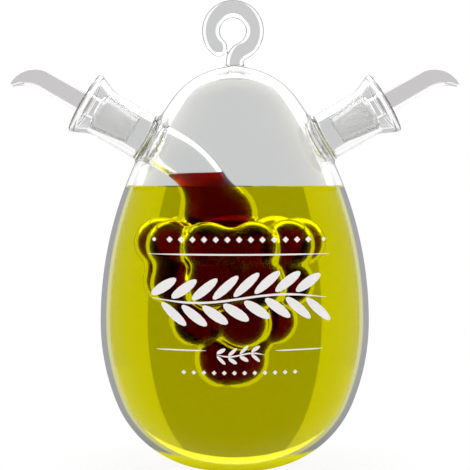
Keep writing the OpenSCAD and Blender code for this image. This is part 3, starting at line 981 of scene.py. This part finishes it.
def rule(x0, x1, z, half):
    """A thin printed line with pointed ends, as points across and up, and faces."""
    n = max(2, int((x1 - x0) / RULE_STEP))
    points, faces = [], []
    for i in range(n + 1):
        x = x0 + (x1 - x0) * i / n
        h = half * min(1, 0.25 + 4 * min(i, n - i) / n)
        points += [(x, z - h, 0), (x, z + h, 0)]
    for i in range(n):
        faces.append([2 * i, 2 * i + 2, 2 * i + 3, 2 * i + 1])
    return points, faces


def wave(points, middle, amount, length):
    """Bends a row up and down along its own line."""
    return [(x, z + amount * math.sin(2 * math.pi * (x - middle) / length), 0) for x, z, _ in points]


# How far the print lies off the egg, a y in front of the egg, and the length of a rule's step
PRINT_LIFT, IN_FRONT, RULE_STEP = 0.08, -60.0, 1.5
# The front of the egg is nearer to the camera than its middle plane, where the print is laid out, so the
# print is drawn smaller round the eye's height
PRINT_SCALE, EYE_H = 0.925, 105
# Height of the wide sprig's stem and of the small one's, and the turn of their leaves
WIDE_H, SMALL_H, LEAF_TURN = 65, 43.6, math.radians(38)


def build_print():
    """Generic olive sprigs, rules and dots in place of the photo's own lettering and mark."""
    group = marks_group()

    def row(count, start, step, sides, stretch, **more):
        """Marks from the start, as (across, up), by the step across."""
        at, by, size = (*start, 0), (step, 0, 0), (*stretch, 1)
        return marks(group, Count=count, Start=at, Step=by, Sides=sides, Stretch=size, **more)

    parts = [rule(-33.7, 37.1, 81.8, 0.32), rule(-30.3, -11.0, 45.2, 0.28), rule(15.6, 34.4, 45.2, 0.28)]
    # Wide sprig: its stem, leaves above and below it, and olives
    wide = [rule(-32, 35.5, WIDE_H, 0.42)]
    for sign, start in ((1, -27.5), (-1, -23.5)):
        wide.append(row(8, (start, WIDE_H + sign * 5.0), 8, 14, (6.2, 1.85), Turn=(0, 0, sign * LEAF_TURN)))
        wide.append(row(7, (start + 5.6, WIDE_H + sign * 2.6), 8, 12, (0.9, 0.9)))
    parts += [(wave(points, 1.7, 1.6, 68), faces) for points, faces in wide]
    # Small sprig between the short rules
    small = [rule(-7, 11.6, SMALL_H, 0.3)]
    for sign in (1, -1):
        start = (-5.2, SMALL_H + sign * 1.75)
        small.append(row(4, start, 4.4, 12, (2.1, 0.72), Turn=(0, 0, sign * LEAF_TURN)))
    parts += [(wave(points, 2.3, 0.7, 18), faces) for points, faces in small]
    # Rows of dots and lozenges where the photo has small words
    parts.append(row(13, (-25.3, 87.5), 4.5, 4, (1.25, 1.25)))
    parts.append(row(2, (-31.5, 87.5), 66.4, 12, (0.75, 0.75)))
    parts.append(row(12, (-19.6, 36.6), 3.9, 4, (0.95, 0.95)))
    points, faces = [], []
    for each, their in parts:
        faces += [[len(points) + i for i in f] for f in their]
        points += each
    flat = (np.array(points) - (0, EYE_H, 0)) * PRINT_SCALE + (0, EYE_H, 0)
    y = on_egg(flat[:, 0], flat[:, 1])
    shell = np.stack([flat[:, 0], y, flat[:, 1]], axis=1)
    for f in faces:
        a, b, c = (shell[i] for i in f[:3])
        if np.cross(b - a, c - a)[1] > 0:
            f.reverse()
    piece("print", shell, unit(gradient(lambda p: egg(p, 0, 0), shell)), faces, PRINT, "vessel", [])
    print("print", len(faces))


# How far a seam is outside the neck's radius, and its bead's radius: at the necks' roots, at the seal
ROOT_SEAM, RING_SEAM = (0.4, 0.24), (-0.1, 0.35)
build_glass()
build_print()
for side, name in ((1, "oil_neck"), (-1, "vinegar_neck")):
    build_seam(name + "_seam", side, NECK_R + ROOT_SEAM[0], 0, 0, ROOT_SEAM[1])
build_seam("ring_seal_seam", -1, NECK_R + RING_SEAM[0], VESSEL_WALL, FLOOR_WALL, RING_SEAM[1])
build_fill("oil_liquid", oil_fill, OIL_LEVEL, OIL_BOX, OIL, "oil_fill")
build_fill("vinegar_liquid", vinegar_fill, VINEGAR_LEVEL, VINEGAR_BOX, VINEGAR, "vinegar_fill")
build_stopper(1, "oil_stopper", "oil_stopper_body")
build_stopper(-1, "vinegar_stopper", "vinegar_stopper_body")

# The floor, in metres: half its width, its height, the distances between which the shadow ends, and how much
# of the floor's own glow is left in the shadow
FLOOR_HALF, FLOOR_Z, SHADE_FROM, SHADE_TO, SHADE_GLOW = 6, -0.0002, 0.04, 0.09, 0.9


def build_floor():
    """A white floor that takes a faint shadow near the foot. Glass doesn't show it."""
    mat, tree, bsdf = principled("pale_floor")
    clouded(tree, bsdf.inputs["Base Color"], (0.965, 0.965, 0.965), 0.01)
    bsdf.inputs["Roughness"].default_value = 0.9
    bsdf.inputs["Specular IOR Level"].default_value = 0.0
    reach = tree.nodes.new("ShaderNodeVectorMath")
    reach.operation = "LENGTH"
    tree.links.new(tree.nodes.new("ShaderNodeTexCoord").outputs["Object"], reach.inputs[0])
    fade = soft_step(tree, reach.outputs["Value"], SHADE_FROM, SHADE_TO, SHADE_GLOW, 1.0)
    path = tree.nodes.new("ShaderNodeLightPath")
    straight = math_node(tree, "MULTIPLY", fade, path.outputs["Is Camera Ray"])
    through = math_node(tree, "MAXIMUM", path.outputs["Is Glossy Ray"], path.outputs["Is Transmission Ray"])
    glow = tree.nodes.new("ShaderNodeEmission")
    glow.inputs["Color"].default_value = (1, 1, 1, 1)
    shown_over(mat, math_node(tree, "MAXIMUM", straight, through), glow)
    mesh = bpy.data.meshes.new("floor")
    corners = [(x * FLOOR_HALF, y * FLOOR_HALF, FLOOR_Z) for x, y in ((-1, -1), (1, -1), (1, 1), (-1, 1))]
    mesh.from_pydata(corners, [], [[0, 1, 2, 3]])
    mesh.materials.append(mat)
    ob = bpy.data.objects.new("floor", mesh)
    bpy.context.scene.collection.objects.link(ob)
    ob.visible_transmission = False
    ob.visible_glossy = False


build_floor()

# The studio: white all round, with soft grey zones that glass shows behind it, and brighter from above. A
# zone is so wide to each side and so high, and comes back every quarter turn
GREY, QUARTER = (0.6, 0.6, 0.6, 1), math.pi / 2
ZONE_HALF, ZONE_TOP, ZONE_SOFT = math.radians(10.05), math.radians(16), math.radians(0.15)
TOP_FROM, TOP_LIGHT = math.radians(16), 2.0
# What mirrored light shows: the dark front, this wide to each side, or the grey round a liquid
DARK, DARK_HALF = (0.55, 0.55, 0.55, 1), math.radians(12)
LIQUID_EDGE = (0.58, 0.58, 0.56, 1)
# How often mirrored light went through a surface: never at the outside, twice in a wall, and four times
# when a liquid mirrors it
OUTSIDE_DEPTH, WALL_DEPTH, LIQUID_DEPTH = 0, 2, 4


def build_world():
    world = bpy.data.worlds.new("soft_studio")
    bpy.context.scene.world = world
    world.use_nodes = True
    tree = world.node_tree
    nodes, links = tree.nodes, tree.links

    def below(value, limit):
        return soft_step(tree, value, limit - ZONE_SOFT, limit + ZONE_SOFT, 1, 0)

    def times(a, b):
        return math_node(tree, "MULTIPLY", a, b)

    axes = nodes.new("ShaderNodeSeparateXYZ")
    links.new(nodes.new("ShaderNodeTexCoord").outputs["Generated"], axes.inputs[0])
    x, y, z = axes.outputs
    around = math_node(tree, "ARCTAN2", x, y)
    turned = math_node(tree, "FLOORED_MODULO", math_node(tree, "ADD", around, QUARTER / 2), QUARTER)
    off = math_node(tree, "ABSOLUTE", math_node(tree, "SUBTRACT", turned, QUARTER / 2))
    high = math_node(tree, "ARCSINE", z)
    low = below(high, ZONE_TOP)
    path = nodes.new("ShaderNodeLightPath")
    seen = math_node(tree, "MAXIMUM", path.outputs["Is Glossy Ray"], path.outputs["Is Transmission Ray"])
    top = math_node(tree, "SUBTRACT", 1, below(high, TOP_FROM))
    glow = math_node(tree, "ADD", 1, times(times(top, seen), TOP_LIGHT - 1))
    white = nodes.new("ShaderNodeCombineColor")
    for socket in white.inputs:
        links.new(glow, socket)
    room = colour_mix(tree, times(times(below(off, ZONE_HALF), low), seen), white.outputs[0], GREY)
    mirrored = times(math_node(tree, "MINIMUM", path.outputs["Glossy Depth"], 1), seen)
    front = times(below(off, DARK_HALF), low)
    for depth, colour, part in (
        (OUTSIDE_DEPTH, DARK, front),
        (LIQUID_DEPTH, LIQUID_EDGE, 1),
        (WALL_DEPTH, DARK, front),
    ):
        there = math_node(tree, "COMPARE", path.outputs["Transmission Depth"], depth, 0.5)
        room = colour_mix(tree, times(times(mirrored, there), part), room, colour)
    links.new(room, nodes["Background"].inputs["Color"])
    nodes["Background"].inputs["Strength"].default_value = 1.0


build_world()

scene = bpy.context.scene
scene.view_settings.view_transform = "Standard"
scene.cycles.max_bounces = 40
scene.cycles.transmission_bounces = 40
scene.cycles.glossy_bounces = 12
scene.cycles.transparent_max_bounces = 16
scene.cycles.caustics_refractive = True
scene.cycles.caustics_reflective = True

# Camera, in metres: its distance, height and place across, the width that it takes in over the origin, and
# the height of the picture's middle there. The sensor is in millimetres
CAM_D, CAM_H, CAM_X, SPAN, LOOK_H, SENSOR = 0.6, 0.105, 0.0001, 0.1815, 0.0893, 36
cam = bpy.data.cameras.new("camera")
cam.sensor_width = SENSOR
cam.lens = SENSOR * CAM_D / SPAN
cam.shift_y = (LOOK_H - CAM_H) / SPAN
eye = bpy.data.objects.new("camera", cam)
eye.location = (CAM_X, -CAM_D, CAM_H)
eye.rotation_euler = (math.pi / 2, 0, 0)
scene.collection.objects.link(eye)
scene.camera = eye
